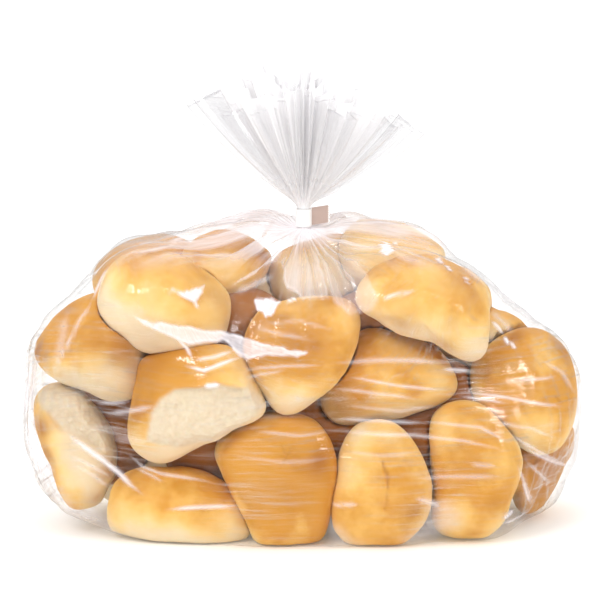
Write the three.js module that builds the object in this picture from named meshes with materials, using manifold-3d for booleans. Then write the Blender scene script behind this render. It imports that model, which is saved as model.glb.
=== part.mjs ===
// A clear bag of soft dinner rolls, gathered at the top and closed with a strip of neck tape.
// Millimetres, +Z up. The bag stands on Z = 0, the neck is upright, and -Y is the side that is shown.
// The film clings to the rolls, spans the gaps between them, and rises in pleats to the neck.
import * as THREE from "three";
import { mergeVertices } from "three/addons/utils/BufferGeometryUtils.js";
import Module from "manifold-3d";

const wasm = await Module();
wasm.setup();

// ---------------------------------------------------------------- driving sizes

// Each roll: its centre from the neck's axis and the floor, and its length, width and height.
// crown is where its browned top faces: degrees to the right of the viewer, and above the horizon.
// spin turns the roll's length about the crown, from level towards upright.
const ROLLS = [
  { name: "left_shoulder", at: [-121, -20, 106], size: [66, 54, 48], crown: [-35, 55], spin: 28 },
  { name: "left_top", at: [-79, -32, 138], size: [74, 57, 50], crown: [15, 60], spin: -24 },
  { name: "left_crest", at: [-46, 10, 148], size: [68, 56, 44], crown: [25, 60], spin: -10 },
  { name: "left_crest_back", at: [-90, 30, 140], size: [64, 54, 44], crown: [-30, 60], spin: 10 },
  { name: "centre", at: [-3, -36, 111], size: [72, 62, 46], crown: [12, 35], spin: 60 },
  { name: "torn_centre", at: [-58, -48, 82], size: [79, 53, 50], crown: [-45, 50], spin: 34 },
  { name: "torn_left", at: [-131, -24, 49], size: [76, 48, 46], crown: [-80, -16], spin: -88 },
  { name: "front_left", at: [-72, -43, 23], size: [82, 46, 44], crown: [-5, 50], spin: 0 },
  { name: "front_middle", at: [-15, -46, 39], size: [76, 63, 48], crown: [8, 12], spin: 102 },
  { name: "front_right", at: [44, -47, 36], size: [72, 58, 48], crown: [0, 8], spin: 90 },
  { name: "front_far_right", at: [96, -38, 40], size: [78, 55, 48], crown: [-5, 10], spin: 96 },
  { name: "right_middle", at: [46, -17, 92], size: [82, 58, 48], crown: [5, 50], spin: -4 },
  { name: "right_side", at: [126, -8, 82], size: [72, 63, 50], crown: [25, 25], spin: 80 },
  { name: "right_top", at: [64, -28, 134], size: [82, 56, 50], crown: [22, 58], spin: -28 },
  { name: "right_crest", at: [48, 16, 151], size: [68, 54, 42], crown: [20, 60], spin: -8 },
  { name: "right_foot", at: [131, 17, 35], size: [70, 54, 46], crown: [40, 10], spin: 50 },
  { name: "back_left_low", at: [-92, 27, 33], size: [74, 60, 48], crown: [170, 30], spin: 10 },
  { name: "back_middle_low", at: [-22, 30, 37], size: [74, 60, 48], crown: [185, 20], spin: 88 },
  { name: "back_right_low", at: [42, 36, 32], size: [72, 58, 48], crown: [175, 50], spin: 10 },
  { name: "back_far_right_low", at: [98, 52, 34], size: [70, 56, 46], crown: [160, 15], spin: 20 },
  { name: "back_left_high", at: [-110, 34, 82], size: [72, 58, 48], crown: [200, 45], spin: 20 },
  { name: "back_middle_left", at: [-56, 42, 81], size: [74, 60, 50], crown: [178, 30], spin: 95 },
  { name: "back_middle_right", at: [8, 44, 84], size: [76, 60, 50], crown: [186, 30], spin: 10 },
  { name: "back_right_high", at: [74, 42, 82], size: [74, 60, 50], crown: [170, 30], spin: -15 },
  { name: "back_far_right_high", at: [105, 24, 100], size: [68, 56, 46], crown: [140, 40], spin: 10 },
  { name: "back_crest_left", at: [-38, 37, 125], size: [72, 56, 46], crown: [180, 45], spin: 10 },
  { name: "back_crest_right", at: [28, 33, 127], size: [72, 56, 46], crown: [190, 45], spin: -12 },
  { name: "back_right_top", at: [77, 24, 126], size: [68, 52, 44], crown: [150, 45], spin: 15 },
  { name: "inner_left_low", at: [-48, -6, 56], size: [74, 58, 48], crown: [0, 30], spin: 20 },
  { name: "inner_right_low", at: [16, -6, 66], size: [74, 58, 48], crown: [5, 25], spin: -10 },
  { name: "inner_far_right_low", at: [78, -2, 62], size: [72, 56, 46], crown: [0, 20], spin: 60 },
  { name: "inner_left_high", at: [-92, 4, 104], size: [70, 56, 46], crown: [0, 40], spin: 0 },
  { name: "inner_far_left_low", at: [-112, 8, 56], size: [66, 54, 44], crown: [-20, 20], spin: 70 },
  { name: "inner_middle", at: [-14, 6, 102], size: [70, 56, 46], crown: [180, 25], spin: 30 },
  { name: "inner_right", at: [44, 12, 112], size: [70, 56, 46], crown: [180, 25], spin: -20 },
];
const ROLL_SQUARENESS = 2.6; // exponent of the rolls' rounded-box form: 2 is an ellipsoid

const HEART_Z = 80; // the film is laid out by rays from this height on the neck's axis
const NECK_RADIUS = 3.6;
const NECK_RIB = 0.05; // the gathers in the neck, as a share of its radius
const NECK_BASE_Z = 172; // the shoulders meet the neck here
const SPLIT_Z = 177.5; // the filled bag ends and its gathered top begins, inside the tape
const SPLIT_GAP = 0.3;

const FILM_PROUD = 2.5; // the film outside the rolls
const END_SLACK = { left: 4, right: 1.5 }; // the film stands off further at the bag's two ends
const SAG_MOST = 9; // how far the film sinks between rolls at the outline, at most
const VALLEY_MOST = 34; // and on the two long sides, where the rolls' own forms show
const FOOT_SINK = 3; // the bag's own weight flattens this much of its lowest rolls
const FOOT_FLAT = 1.5; // film below this height lies flat on the floor
const FOOT_EDGE = 8; // and up to this height it curves in towards it

const SHOULDER_PLEATS = 28;
const PLEAT_DEPTH = 2.6;
const PLEAT_REACH = 60; // the pleats die away over this distance from the neck
const NECK_PULL = 9; // the neck lifts the film over about this distance
const BILLOW_RISE = 10; // loose film stands up round the neck
const BILLOW_AT = 24; // its crest is this far from the neck
const BILLOW_TURN = 130; // and highest here, from the right and on round by the back

// Each outer fold of the gathered top: its turn, from the right and on round by the back,
// how far it leans out from upright, both in degrees, and its length from the neck.
const FRILL_FOLDS = [
  { turn: 8, lean: 53, length: 81 },
  { turn: 24, lean: 46, length: 80 },
  { turn: 42, lean: 36, length: 87 },
  { turn: 58, lean: 30, length: 80 },
  { turn: 75, lean: 25, length: 81 },
  { turn: 93, lean: 18, length: 84 },
  { turn: 110, lean: 22, length: 76 },
  { turn: 128, lean: 28, length: 78 },
  { turn: 146, lean: 35, length: 74 },
  { turn: 163, lean: 43, length: 93 },
  { turn: 178, lean: 49, length: 92 },
  { turn: 194, lean: 46, length: 91 },
  { turn: 212, lean: 42, length: 80 },
  { turn: 230, lean: 34, length: 74 },
  { turn: 248, lean: 28, length: 76 },
  { turn: 266, lean: 20, length: 85 },
  { turn: 283, lean: 22, length: 80 },
  { turn: 300, lean: 30, length: 78 },
  { turn: 317, lean: 40, length: 74 },
  { turn: 334, lean: 51, length: 77 },
  { turn: 350, lean: 58, length: 86 },
];
const TUCK_LEAN = 0.62; // the film between two outer folds leans out this share of what they do
const TUCK_LENGTH = 0.92; // and it is this share of their length
const FRILL_OPENING = 3; // the folds fan out over this length above the tape
const FRILL_CURL = 0.18; // a fold leans more by this share at the neck, and less at the mouth
const FRILL_HEART = 60; // the layers inside the mouth come up this far above the neck

const TAPE_HEIGHT = 10;
const TAPE_THICK = 0.4;
const TAPE_FLAG = 11.5; // the ends of the tape, stuck to each other, stand out this far
const TAPE_FLAG_TURN = 10; // degrees towards the back
const TAPE_FLAG_RISE = 2; // the flag's far end is this much higher
const TAPE_TEETH = 5; // the cutter leaves a zigzag end
const TOOTH_DEPTH = 0.9;
const FIT_GAP = 0.3; // between the tape and the neck that it holds

// Mesh steps
const AROUND = 120;
const DOWN = 40;
const STEPS_PER_FOLD = 6;
const ALONG_FRILL = 9;

// ---------------------------------------------------------------- small helpers

const radians = THREE.MathUtils.degToRad;

/** A smooth wave of mixed periods round a full turn, from about -1 to 1. */
function unevenness(angle, seed) {
  const first = Math.sin(2 * angle + seed);
  const second = Math.sin(3 * angle + 2.3 * seed + 1);
  const third = Math.sin(7 * angle + 4.1 * seed + 2);
  return 0.5 * first + 0.3 * second + 0.2 * third;
}

/** A closed mesh of rings of points, every ring as long as the others, with a fan over each end. */
function skinRings(rings, startPoint, endPoint) {
  const count = rings[0].length;
  const points = [...rings.flat(), startPoint, endPoint];
  const start = points.length - 2;
  const end = points.length - 1;
  const triangles = [];
  for (let ring = 0; ring + 1 < rings.length; ring++) {
    for (let i = 0; i < count; i++) {
      const next = (i + 1) % count;
      const [a, b] = [ring * count + i, ring * count + next];
      const [c, d] = [a + count, b + count];
      const flipped = (i + ring) % 2 === 0;
      triangles.push(...(flipped ? [a, c, b, b, c, d] : [a, c, d, a, d, b]));
    }
  }
  const last = (rings.length - 1) * count;
  for (let i = 0; i < count; i++) {
    const next = (i + 1) % count;
    triangles.push(start, i, next);
    triangles.push(end, last + next, last + i);
  }
  const geometry = new THREE.BufferGeometry();
  geometry.setAttribute("position", new THREE.Float32BufferAttribute(points.flatMap((p) => p.toArray()), 3));
  geometry.setIndex(triangles);
  return geometry;
}

/** A closed geometry as a manifold-3d solid. */
function solidOf(geometry) {
  const bare = geometry.clone();
  bare.deleteAttribute("normal");
  bare.deleteAttribute("uv");
  const merged = mergeVertices(bare, 1e-4);
  const vertProperties = merged.attributes.position.array;
  const triVerts = new Uint32Array(merged.index.array);
  return new wasm.Manifold(new wasm.Mesh({ numProp: 3, vertProperties, triVerts }));
}

/** A manifold-3d solid as a geometry. */
function geometryOf(solid) {
  const mesh = solid.getMesh();
  const geometry = new THREE.BufferGeometry();
  geometry.setAttribute("position", new THREE.BufferAttribute(new Float32Array(mesh.vertProperties), 3));
  geometry.setIndex(new THREE.BufferAttribute(new Uint32Array(mesh.triVerts), 1));
  return geometry;
}

function namedMesh(name, geometry, look) {
  geometry.computeVertexNormals();
  const mesh = new THREE.Mesh(geometry, new THREE.MeshStandardMaterial(look));
  mesh.name = name;
  return mesh;
}

// ---------------------------------------------------------------- the rolls, as the film feels them

/** The roll's own axes: x along its length, z out of its crown. */
function rollFrame({ crown, spin }) {
  const [turn, rise] = crown.map(radians);
  const out = new THREE.Vector3(
    Math.cos(rise) * Math.sin(turn),
    -Math.cos(rise) * Math.cos(turn),
    Math.sin(rise),
  );
  const level = new THREE.Vector3(Math.cos(turn), Math.sin(turn), 0);
  const long = level.applyAxisAngle(out, radians(spin));
  return new THREE.Matrix4().makeBasis(long, out.clone().cross(long), out);
}

const packedRolls = ROLLS.map((roll) => {
  const turn = rollFrame(roll);
  return {
    centre: new THREE.Vector3(...roll.at).setZ(roll.at[2] - FOOT_SINK),
    half: roll.size.map((side) => side / 2 + FILM_PROUD),
    intoRoll: turn.clone().transpose(),
  };
});

/** The sum of the powers of a vector's three parts. */
function powerSum(parts, power) {
  return parts.reduce((total, part) => total + Math.abs(part) ** power, 0);
}

/** How far the rolls reach from the heart in a direction: the plane that touches them all. */
function reach(direction, heart) {
  const power = ROLL_SQUARENESS / (ROLL_SQUARENESS - 1);
  let most = -Infinity;
  for (const { centre, half, intoRoll } of packedRolls) {
    const own = direction.clone().transformDirection(intoRoll).toArray();
    const scaled = own.map((part, axis) => part * half[axis]);
    const offset = centre.clone().sub(heart).dot(direction);
    most = Math.max(most, offset + powerSum(scaled, power) ** (1 / power));
  }
  return most;
}

/** How far from the heart a ray leaves the outermost roll, or 0 where it meets none. */
function rollSkin(ray, heart, farthest) {
  const steps = 40;
  for (let step = 0; step < steps; step++) {
    const distance = farthest * (1 - step / steps);
    const point = heart.clone().addScaledVector(ray, distance);
    for (const { centre, half, intoRoll } of packedRolls) {
      const own = point.clone().sub(centre).applyMatrix4(intoRoll).toArray();
      const scaled = own.map((part, axis) => part / half[axis]);
      if (powerSum(scaled, ROLL_SQUARENESS) <= 1) return distance;
    }
  }
  return 0;
}

// ---------------------------------------------------------------- the filled bag

/** Evenly spread directions over a sphere. */
function spreadDirections(count) {
  const golden = Math.PI * (3 - Math.sqrt(5));
  return Array.from({ length: count }, (_, i) => {
    const z = 1 - (2 * i + 1) / count;
    const flat = Math.sqrt(1 - z * z);
    return new THREE.Vector3(flat * Math.cos(golden * i), flat * Math.sin(golden * i), z);
  });
}

/** Angles from the neck down to just short of the underside's middle, closer together near the neck. */
function filmAngle(row) {
  const first = Math.atan2(NECK_RADIUS, NECK_BASE_Z - HEART_Z);
  const last = radians(176);
  return first + (last - first) * (row / (DOWN - 1)) ** 1.25;
}

function filmRay(angle, turn) {
  const flat = Math.sin(angle);
  return new THREE.Vector3(flat * Math.cos(turn), flat * Math.sin(turn), Math.cos(angle));
}

/** One pass of smoothing over the rows and round each of them. */
function smoothed(grid) {
  return grid.map((values, row) =>
    values.map((value, i) => {
      const beside = values[(i + 1) % AROUND] + values[(i + AROUND - 1) % AROUND];
      const above = grid[Math.max(row - 1, 0)][i];
      const below = grid[Math.min(row + 1, DOWN - 1)][i];
      return (2 * value + beside + above + below) / 6;
    }),
  );
}

/** How deep the gaps between the rolls may go: deepest on the two long sides, below the shoulders. */
function sagMost(ray) {
  const side = THREE.MathUtils.smoothstep(Math.abs(ray.y), 0.15, 0.45);
  const below = 1 - THREE.MathUtils.smoothstep(ray.z, 0.6, 0.85);
  return SAG_MOST + (VALLEY_MOST - SAG_MOST) * side * below;
}

/** The film drawn tight round all the rolls, then let down into the gaps between them. */
function filmDistances(heart, turns) {
  const planes = spreadDirections(2400).map((normal) => ({ normal, offset: reach(normal, heart) }));
  const tight = [];
  let sag = [];
  for (let row = 0; row < DOWN; row++) {
    const rays = turns.map((turn) => filmRay(filmAngle(row), turn));
    const distances = rays.map((ray) => {
      const facing = planes.filter(({ normal }) => normal.dot(ray) > 0.05);
      return Math.min(...facing.map(({ normal, offset }) => offset / normal.dot(ray)));
    });
    tight.push(distances);
    sag.push(
      distances.map((distance, i) => {
        const gap = distance - rollSkin(rays[i], heart, distance);
        const offFloor = THREE.MathUtils.smoothstep(rays[i].z, -0.85, -0.45);
        const most = sagMost(rays[i]);
        return offFloor * most * (1 - Math.exp(-gap / most));
      }),
    );
  }
  sag = smoothed(sag);
  return tight.map((values, row) => values.map((value, i) => value - sag[row][i]));
}

/** Pleats that run out from the neck over the shoulders, deepest a little way down. */
function pleatRelief(turn, fromNeck, alongFilm) {
  const fold = Math.cos(SHOULDER_PLEATS * turn + 1.6 * unevenness(turn, 1));
  const depth = Math.min(0.09 * fromNeck, PLEAT_DEPTH) * (1 + 0.35 * unevenness(2 * turn, 4));
  return depth * fold * Math.exp(-((alongFilm / PLEAT_REACH) ** 2));
}

/** The loose film that stands up round the neck. */
function billow(turn, fromNeck) {
  const round = 0.5 + 0.5 * Math.cos(turn - radians(BILLOW_TURN));
  const out = (fromNeck / BILLOW_AT) ** 2;
  return BILLOW_RISE * round * out * Math.exp(1 - out);
}

/** The underside spreads out flat on the floor, with a round edge that runs smoothly into the sides. */
function pressedFlat(z) {
  if (z > FOOT_EDGE) return z;
  const depth = FOOT_EDGE - FOOT_FLAT;
  const share = Math.max((z - FOOT_FLAT) / depth, 0);
  return (3 * share ** 2 - 2 * share ** 3) * FOOT_EDGE + (share ** 3 - share ** 2) * depth;
}

/** The bag's outer form: film round the rolls, pleated shoulders, and the neck up into the tape. */
function filledBag() {
  const heart = new THREE.Vector3(0, 0, HEART_Z);
  const turns = Array.from({ length: AROUND }, (_, i) => (2 * Math.PI * i) / AROUND);
  const rings = [SPLIT_Z, (SPLIT_Z + NECK_BASE_Z) / 2].map((z) => neckRing(z, turns));
  filmDistances(heart, turns).forEach((values, row) => {
    const angle = filmAngle(row);
    const above = angle < Math.PI / 2 ? 1 : 0;
    rings.push(
      values.map((value, i) => {
        const turn = turns[i];
        const endward = Math.abs(Math.sin(angle) * Math.cos(turn)) ** 6;
        const slack = endward * (Math.cos(turn) < 0 ? END_SLACK.left : END_SLACK.right);
        const point = filmRay(angle, turn).multiplyScalar(value + slack).add(heart);
        const fromNeck = Math.hypot(point.x, point.y);
        const alongFilm = Math.hypot(fromNeck, NECK_BASE_Z - point.z);
        point.addScaledVector(filmRay(angle, turn), above * pleatRelief(turn, fromNeck, alongFilm));
        const pull = above * Math.exp(-(fromNeck - NECK_RADIUS) / NECK_PULL);
        point.z += pull * (NECK_BASE_Z - point.z) + above * billow(turn, fromNeck);
        point.z = pressedFlat(point.z);
        return point;
      }),
    );
  });
  rings[2] = neckRing(NECK_BASE_Z, turns);
  return skinRings(rings, new THREE.Vector3(0, 0, SPLIT_Z), new THREE.Vector3(0, 0, 0));
}

/** One ring of the gathered neck. */
function neckRing(z, turns) {
  return turns.map((turn) => {
    const radius = NECK_RADIUS * (1 + NECK_RIB * Math.cos(14 * turn));
    return new THREE.Vector3(radius * Math.cos(turn), radius * Math.sin(turn), z);
  });
}

// ---------------------------------------------------------------- the gathered top

/** The line that the film follows from the neck to the mouth, at one place round the frill. */
function frillLine(turn, lean, length) {
  const points = [];
  let fromNeck = NECK_RADIUS;
  let z = SPLIT_Z + TAPE_HEIGHT / 2;
  for (let step = 0; step <= ALONG_FRILL; step++) {
    points.push(new THREE.Vector3(fromNeck * Math.cos(turn), fromNeck * Math.sin(turn), z));
    const share = (step + 0.5) / ALONG_FRILL;
    const opened = 1 - Math.exp(-share * length / FRILL_OPENING);
    const angle = lean * opened * (1 + FRILL_CURL * (1 - 2 * share));
    fromNeck += (Math.sin(angle) * length) / ALONG_FRILL;
    z += (Math.cos(angle) * length) / ALONG_FRILL;
  }
  return points;
}

/** The directions round the frill, and its line at each: an outer fold, a tuck, and the next fold. */
function frillLines() {
  const folds = [...FRILL_FOLDS, { ...FRILL_FOLDS[0], turn: FRILL_FOLDS[0].turn + 360 }];
  return FRILL_FOLDS.flatMap((fold, i) =>
    Array.from({ length: STEPS_PER_FOLD }, (_, step) => {
      const share = step / STEPS_PER_FOLD;
      const between = (key) => THREE.MathUtils.lerp(fold[key], folds[i + 1][key], share);
      const turn = radians(between("turn"));
      const tuck = 0.5 - 0.5 * Math.cos(2 * Math.PI * share);
      const tuckLean = TUCK_LEAN + 0.12 * unevenness(turn, 5);
      const lean = radians(between("lean")) * (1 - tuck * (1 - tuckLean));
      const length = between("length") * (1 - tuck * (1 - TUCK_LENGTH));
      return { turn, line: frillLine(turn, lean, length) };
    }),
  );
}

/** The bag's mouth above the tape: folds that fan out from the neck, full of their own inner layers. */
function gatheredTop() {
  const around = frillLines();
  const lines = around.map(({ line }) => line);
  const base = SPLIT_Z + SPLIT_GAP;
  const heart = new THREE.Vector3(0, 0, SPLIT_Z + TAPE_HEIGHT / 2 + FRILL_HEART);
  const rings = [0.34, 0.67].map((share) =>
    lines.map((line) => {
      const mouth = line[ALONG_FRILL];
      const point = heart.clone().lerp(mouth, share);
      point.z -= 0.2 * (mouth.z - heart.z) * Math.sin(Math.PI * share);
      return point;
    }),
  );
  for (let step = ALONG_FRILL; step >= 0; step--) rings.push(lines.map((line) => line[step]));
  rings.push(neckRing(base, around.map(({ turn }) => turn)));
  return skinRings(rings, heart, new THREE.Vector3(0, 0, base));
}

// ---------------------------------------------------------------- the tape

/** A strip of tape round the neck, with its two ends stuck together in a flag. */
function neckTape() {
  const inner = NECK_RADIUS * (1 + NECK_RIB) + FIT_GAP;
  const band = new THREE.Shape().absarc(0, 0, inner + TAPE_THICK, 0, 2 * Math.PI, false);
  band.holes.push(new THREE.Path().absarc(0, 0, inner, 0, 2 * Math.PI, true));
  const bandShape = { depth: TAPE_HEIGHT, bevelEnabled: false, curveSegments: 20 };
  const bandGeometry = new THREE.ExtrudeGeometry(band, bandShape);

  const far = inner + TAPE_FLAG;
  const edge = (x, z) => new THREE.Vector2(x, z + (TAPE_FLAG_RISE * x) / far);
  const outline = [edge(0, 0)];
  for (let tooth = 0; tooth < TAPE_TEETH; tooth++) {
    outline.push(edge(far - TOOTH_DEPTH, (TAPE_HEIGHT * tooth) / TAPE_TEETH));
    outline.push(edge(far, (TAPE_HEIGHT * (tooth + 0.5)) / TAPE_TEETH));
  }
  outline.push(edge(far - TOOTH_DEPTH, TAPE_HEIGHT), edge(0, TAPE_HEIGHT));
  const flagShape = { depth: 2 * TAPE_THICK, bevelEnabled: false };
  const flagGeometry = new THREE.ExtrudeGeometry(new THREE.Shape(outline), flagShape);
  flagGeometry.translate(0, 0, -TAPE_THICK);
  flagGeometry.rotateX(Math.PI / 2);

  const hole = new THREE.CylinderGeometry(inner, inner, 4 * TAPE_HEIGHT, 40);
  hole.rotateX(Math.PI / 2);
  const joined = solidOf(bandGeometry).add(solidOf(flagGeometry)).subtract(solidOf(hole));
  const geometry = geometryOf(joined);
  geometry.rotateZ(radians(TAPE_FLAG_TURN));
  geometry.translate(0, 0, SPLIT_Z - TAPE_HEIGHT / 2);
  return geometry;
}

// ---------------------------------------------------------------- the whole

const bag = new THREE.Group();
bag.add(
  namedMesh("filled_bag", filledBag(), { color: "#e6b878", roughness: 0.35, metalness: 0 }),
  namedMesh("gathered_top", gatheredTop(), { color: "#f1eef2", roughness: 0.3, metalness: 0 }),
  namedMesh("neck_tape", neckTape(), { color: "#f4f1ec", roughness: 0.6, metalness: 0 }),
);

// The origin is the middle of the box round the whole bag, on the surface that it stands on.
const box = new THREE.Box3().setFromObject(bag);
const middle = box.getCenter(new THREE.Vector3());
bag.position.set(-middle.x, -middle.y, -box.min.z);

export default bag;
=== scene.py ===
"""A clear bag of soft dinner rolls: film, gathered mouth, tape and rolls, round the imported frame."""

import itertools
import math

import bpy
import numpy as np
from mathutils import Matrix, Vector
from mathutils.bvhtree import BVHTree


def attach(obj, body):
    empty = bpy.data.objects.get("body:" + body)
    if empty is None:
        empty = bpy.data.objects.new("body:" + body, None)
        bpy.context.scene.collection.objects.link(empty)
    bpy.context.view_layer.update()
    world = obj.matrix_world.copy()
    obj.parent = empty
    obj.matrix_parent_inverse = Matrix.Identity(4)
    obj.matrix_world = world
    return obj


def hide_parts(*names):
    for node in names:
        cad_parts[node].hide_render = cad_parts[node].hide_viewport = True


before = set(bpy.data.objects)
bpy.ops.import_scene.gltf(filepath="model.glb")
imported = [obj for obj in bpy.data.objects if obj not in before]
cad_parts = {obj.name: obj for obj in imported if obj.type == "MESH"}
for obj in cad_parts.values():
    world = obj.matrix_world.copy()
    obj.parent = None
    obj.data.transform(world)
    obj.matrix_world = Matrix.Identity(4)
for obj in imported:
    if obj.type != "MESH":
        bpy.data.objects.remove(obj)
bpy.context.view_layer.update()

MM = 0.001

# ------------------------------------------------------------ the rolls, in millimetres from the neck's axis

# Centre, size (long, wide, tall), where the crown faces (degrees to the right of the viewer, and
# above the horizon), and the turn of the long side about the crown.
ROLLS = {
    "left_shoulder": ((-121, -20, 106), (66, 54, 48), (-35, 55), 28),
    "left_top": ((-79, -32, 138), (74, 57, 50), (15, 60), -24),
    "left_crest": ((-46, 10, 148), (68, 56, 44), (25, 60), -10),
    "left_crest_back": ((-90, 30, 140), (64, 54, 44), (-30, 60), 10),
    "centre": ((-3, -36, 111), (72, 62, 46), (12, 35), 60),
    "torn_centre": ((-58, -48, 82), (79, 53, 50), (-45, 50), 34),
    "torn_left": ((-131, -24, 49), (76, 48, 46), (-80, -16), -88),
    "front_left": ((-72, -43, 23), (82, 46, 44), (-5, 50), 0),
    "front_middle": ((-15, -46, 39), (76, 63, 48), (8, 12), 102),
    "front_right": ((44, -47, 36), (72, 58, 48), (0, 8), 90),
    "front_far_right": ((96, -38, 40), (78, 55, 48), (-5, 10), 96),
    "right_middle": ((46, -17, 92), (82, 58, 48), (5, 50), -4),
    "right_side": ((126, -8, 82), (72, 63, 50), (25, 25), 80),
    "right_top": ((64, -28, 134), (82, 56, 50), (22, 58), -28),
    "right_crest": ((48, 16, 151), (68, 54, 42), (20, 60), -8),
    "right_foot": ((131, 17, 35), (70, 54, 46), (40, 10), 50),
    "back_left_low": ((-92, 27, 33), (74, 60, 48), (170, 30), 10),
    "back_middle_low": ((-22, 30, 37), (74, 60, 48), (185, 20), 88),
    "back_right_low": ((42, 36, 32), (72, 58, 48), (175, 50), 10),
    "back_far_right_low": ((98, 52, 34), (70, 56, 46), (160, 15), 20),
    "back_left_high": ((-110, 34, 82), (72, 58, 48), (200, 45), 20),
    "back_middle_left": ((-56, 42, 81), (74, 60, 50), (178, 30), 95),
    "back_middle_right": ((8, 44, 84), (76, 60, 50), (186, 30), 10),
    "back_right_high": ((74, 42, 82), (74, 60, 50), (170, 30), -15),
    "back_far_right_high": ((105, 24, 100), (68, 56, 46), (140, 40), 10),
    "back_crest_left": ((-38, 37, 125), (72, 56, 46), (180, 45), 10),
    "back_crest_right": ((14, 31, 137), (72, 56, 46), (190, 45), -12),
    "back_right_top": ((77, 24, 126), (68, 52, 44), (150, 45), 15),
    "inner_left_low": ((-48, -6, 56), (74, 58, 48), (0, 30), 20),
    "inner_right_low": ((16, -6, 66), (74, 58, 48), (5, 25), -10),
    "inner_far_right_low": ((78, -2, 62), (72, 56, 46), (0, 20), 60),
    "inner_left_high": ((-92, 4, 104), (70, 56, 46), (0, 40), 0),
    "inner_far_left_low": ((-112, 8, 56), (66, 54, 44), (-20, 20), 70),
    "inner_middle": ((-30, 2, 108), (70, 56, 46), (180, 25), 30),
    "inner_right": ((44, 12, 112), (70, 56, 46), (180, 25), -20),
}
# The two faces of bare crumb, as corners to the right of the neck's axis and above the floor.
TORN_CENTRE_FACE = (
    (-88, 60), (-85, 77), (-79, 85), (-71, 91), (-49, 94), (-31, 92), (-22, 84), (-21, 80), (-35, 69),
    (-51, 60), (-68, 57),
)
TORN_LEFT_FACE = (
    (-152, 80), (-145, 87), (-133, 88), (-124, 84), (-116, 74), (-110, 67), (-107, 58), (-107, 51),
    (-112, 49), (-123, 56), (-136, 62), (-143, 69), (-149, 75),
)
# Marks on single rolls, as (kind, where, size, strength). A place is given to the right of the neck's
# axis and above the floor. The size is a radius, or a crack's far end. A torn face has its outline and
# its depth, and a dent with a strength below 0 is a swelling.
MARKS = {
    "centre": (("dent", (8, 113), 8, 2.6), ("brown", (-1, 115), 12, 0.5), ("brown", (-27, 122), 8, 0.5),
        ("pale", (-8, 82), 14, 0.6), ("pale", (-2, 138), 14, 0.4), ("pale", (27, 123), 11, 0.6)),
    "torn_centre": (("torn", TORN_CENTRE_FACE, 9, 1), ("brown", (-85, 101), 18, 0.5),
        ("brown", (-94, 73), 9, 0.5), ("pale", (-37, 105), 20, 0.9), ("pale", (-66, 55), 20, 0.8)),
    "torn_left": (("torn", TORN_LEFT_FACE, 8, 1), ("brown", (-148, 63), 7, 0.9),
        ("brown", (-145, 48), 7, 0.7), ("brown", (-110, 39), 6, 0.6), ("brown", (-118, 22), 6, 0.5),
        ("pale", (-133, 48), 14, 0.7), ("pale", (-129, 30), 13, 0.6)),
    "left_shoulder": (("brown", (-150, 106), 6, 0.8), ("brown", (-136, 129), 8, 0.5),
        ("brown", (-100, 110), 12, 0.75), ("brown", (-117, 108), 14, 0.25), ("dent", (-115, 112), 9, 1.6),
        ("pale", (-130, 94), 14, 0.9), ("pale", (-102, 84), 13, 0.9), ("pale", (-112, 101), 10, 0.5)),
    "left_top": (("pale", (-107, 133), 15, 0.8), ("pale", (-84, 136), 17, 0.65),
        ("brown", (-85, 115), 12, 0.3), ("brown", (-49, 140), 12, 0.45), ("brown", (-85, 159), 14, 0.25)),
    "left_crest": (("pale", (-43, 153), 16, 0.55), ("brown", (-24, 156), 9, 0.9),
        ("pale", (-51, 144), 12, 0.6)),
    "front_left": (("crack", (-94, 34), (-55, 31), 0.6), ("brown", (-38, 27), 10, 0.5),
        ("brown", (-97, 38), 9, 0.35), ("pale", (-75, 7), 16, 0.6), ("pale", (-102, 15), 12, 0.5)),
    "front_middle": (("pucker", (-9, 53), 7, 1.8), ("brown", (8, 49), 8, 0.9), ("brown", (-6, 32), 15, 0.35),
        ("pale", (-30, 67), 13, 0.5), ("pale", (-2, 9), 14, 0.6)),
    "front_right": (("crack", (43, 49), (47, 36), 1.0), ("crack", (47, 36), (45, 24), 0.8),
        ("dent", (44, 62), 4, 1.1), ("pale", (33, 63), 13, 0.7), ("pale", (24, 44), 11, 0.7),
        ("brown", (61, 21), 7, 0.6), ("dent", (53, 40), 9, -1.6)),
    "front_far_right": (("pale", (76, 66), 13, 0.8), ("pale", (82, 14), 13, 0.8), ("dent", (104, 38), 8, 0.9),
        ("brown", (108, 24), 7, 0.35), ("pale", (112, 43), 9, 0.3)),
    "right_middle": (("pale", (54, 109), 17, 0.8), ("brown", (21, 77), 14, 0.7), ("pale", (76, 93), 14, 0.9),
        ("pale", (50, 94), 16, 0.4)),
    "right_side": (("dent", (120, 111), 7, 1.4), ("brown", (120, 111), 7, 0.5), ("pale", (137, 102), 13, 0.6),
        ("pale", (128, 59), 14, 0.8), ("brown", (152, 104), 8, 0.5), ("crack", (143, 79), (147, 75), 0.9)),
    "right_top": (("brown", (89, 146), 12, 0.4), ("pale", (69, 153), 14, 0.3), ("brown", (55, 125), 7, 0.5),
        ("brown", (79, 112), 7, 0.5), ("pale", (98, 119), 8, 0.3), ("pale", (67, 133), 16, 0.35),
        ("dent", (83, 127), 12, 1.4)),
    "right_crest": (("pale", (39, 159), 15, 0.6), ("brown", (45, 174), 8, 0.5)),
    "right_foot": (("brown", (144, 30), 18, 0.8),),
}
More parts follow.
